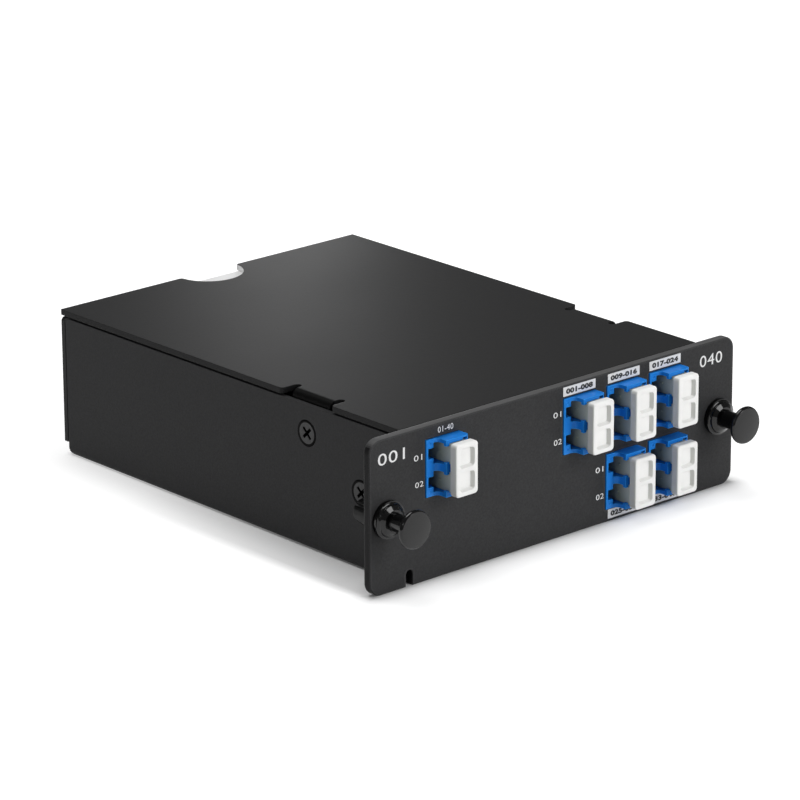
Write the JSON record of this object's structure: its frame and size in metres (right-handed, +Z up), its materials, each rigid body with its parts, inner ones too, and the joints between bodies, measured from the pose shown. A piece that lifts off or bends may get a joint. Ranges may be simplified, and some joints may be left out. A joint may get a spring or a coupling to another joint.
{
  "type": "dwdm mux demux module",
  "caption": "Plug-in wavelength mux/demux cassette: folded black steel box with flat front panel, blue duplex LC ports under white dust caps and push-pull end latches.",
  "frame": {"origin": "middle of the bounding box at the level of the panel's lower edge", "axes": "+X right as seen from the panel's side, +Y from the panel to the rear wall, +Z up"},
  "size_m": [0.1068, 0.1244, 0.0341],
  "materials": {
    "tray_paint": "fine-textured black powder coat",
    "cover_paint": "fine-textured black powder coat",
    "panel_paint": "fine-textured black powder coat",
    "zinc_plate": "zinc plated",
    "seal_paper": "matte white, blank",
    "black_screw": "black zinc",
    "latch_nylon": "glossy black nylon",
    "adapter_blue": "moulded blue, satin",
    "zirconia": "polished white",
    "plug_plastic": "moulded white",
    "cap_white": "soft white moulding",
    "cradle_plastic": "moulded black",
    "filter_steel": "turned tube with dark end boots",
    "fibre_jacket": "satin jacket",
    "clip_nylon": "natural nylon"
  },
  "bodies": {
    "module": {"base_tray": "tray_paint", "top_cover": "cover_paint", "rear_seal": "seal_paper", "front_panel": "panel_paint", "left_panel_bracket": "zinc_plate", "right_panel_bracket": "zinc_plate", "cover_screws": "black_screw", "bracket_screws": "black_screw", "left_latch_collar": "latch_nylon", "right_latch_collar": "latch_nylon", "line_adapter": "adapter_blue", "line_sleeves": "zirconia", "line_pigtail_plugs": "plug_plastic", "channel_1_adapter": "adapter_blue", "channel_1_sleeves": "zirconia", "channel_1_pigtail_plugs": "plug_plastic", "channel_2_adapter": "adapter_blue", "channel_2_sleeves": "zirconia", "channel_2_pigtail_plugs": "plug_plastic", "channel_3_adapter": "adapter_blue", "channel_3_sleeves": "zirconia", "channel_3_pigtail_plugs": "plug_plastic", "channel_4_adapter": "adapter_blue", "channel_4_sleeves": "zirconia", "channel_4_pigtail_plugs": "plug_plastic", "channel_5_adapter": "adapter_blue", "channel_5_sleeves": "zirconia", "channel_5_pigtail_plugs": "plug_plastic", "filter_cradle": "cradle_plastic", "filter_1": "filter_steel", "filter_2": "filter_steel", "filter_3": "filter_steel", "filter_4": "filter_steel", "filter_5": "filter_steel", "filter_6": "filter_steel", "filter_7": "filter_steel", "filter_8": "filter_steel", "filter_9": "filter_steel", "filter_10": "filter_steel", "fibre_coil": "fibre_jacket", "coil_clip_1": "clip_nylon", "coil_clip_2": "clip_nylon", "coil_clip_3": "clip_nylon", "coil_clip_4": "clip_nylon"},
    "line_cap": {"line_dust_cap": "cap_white"},
    "channel_1_cap": {"channel_1_dust_cap": "cap_white"},
    "channel_2_cap": {"channel_2_dust_cap": "cap_white"},
    "channel_3_cap": {"channel_3_dust_cap": "cap_white"},
    "channel_4_cap": {"channel_4_dust_cap": "cap_white"},
    "channel_5_cap": {"channel_5_dust_cap": "cap_white"},
    "left_plunger": {"left_latch_plunger": "latch_nylon"},
    "right_plunger": {"right_latch_plunger": "latch_nylon"}
  },
  "joints": [
    {"name": "line_cap_pull", "type": "slide", "parent": "module", "child": "line_cap", "axis": [0, -1, 0], "range_m": [0, 0.015]},
    {"name": "channel_1_cap_pull", "type": "slide", "parent": "module", "child": "channel_1_cap", "axis": [0, -1, 0], "range_m": [0, 0.015]},
    {"name": "channel_2_cap_pull", "type": "slide", "parent": "module", "child": "channel_2_cap", "axis": [0, -1, 0], "range_m": [0, 0.015]},
    {"name": "channel_3_cap_pull", "type": "slide", "parent": "module", "child": "channel_3_cap", "axis": [0, -1, 0], "range_m": [0, 0.015]},
    {"name": "channel_4_cap_pull", "type": "slide", "parent": "module", "child": "channel_4_cap", "axis": [0, -1, 0], "range_m": [0, 0.015]},
    {"name": "channel_5_cap_pull", "type": "slide", "parent": "module", "child": "channel_5_cap", "axis": [0, -1, 0], "range_m": [0, 0.015]},
    {"name": "left_latch_push", "type": "slide", "parent": "module", "child": "left_plunger", "axis": [0, 1, 0], "range_m": [0, 0.0035]},
    {"name": "right_latch_push", "type": "slide", "parent": "module", "child": "right_plunger", "axis": [0, 1, 0], "range_m": [0, 0.0035]}
  ]
}
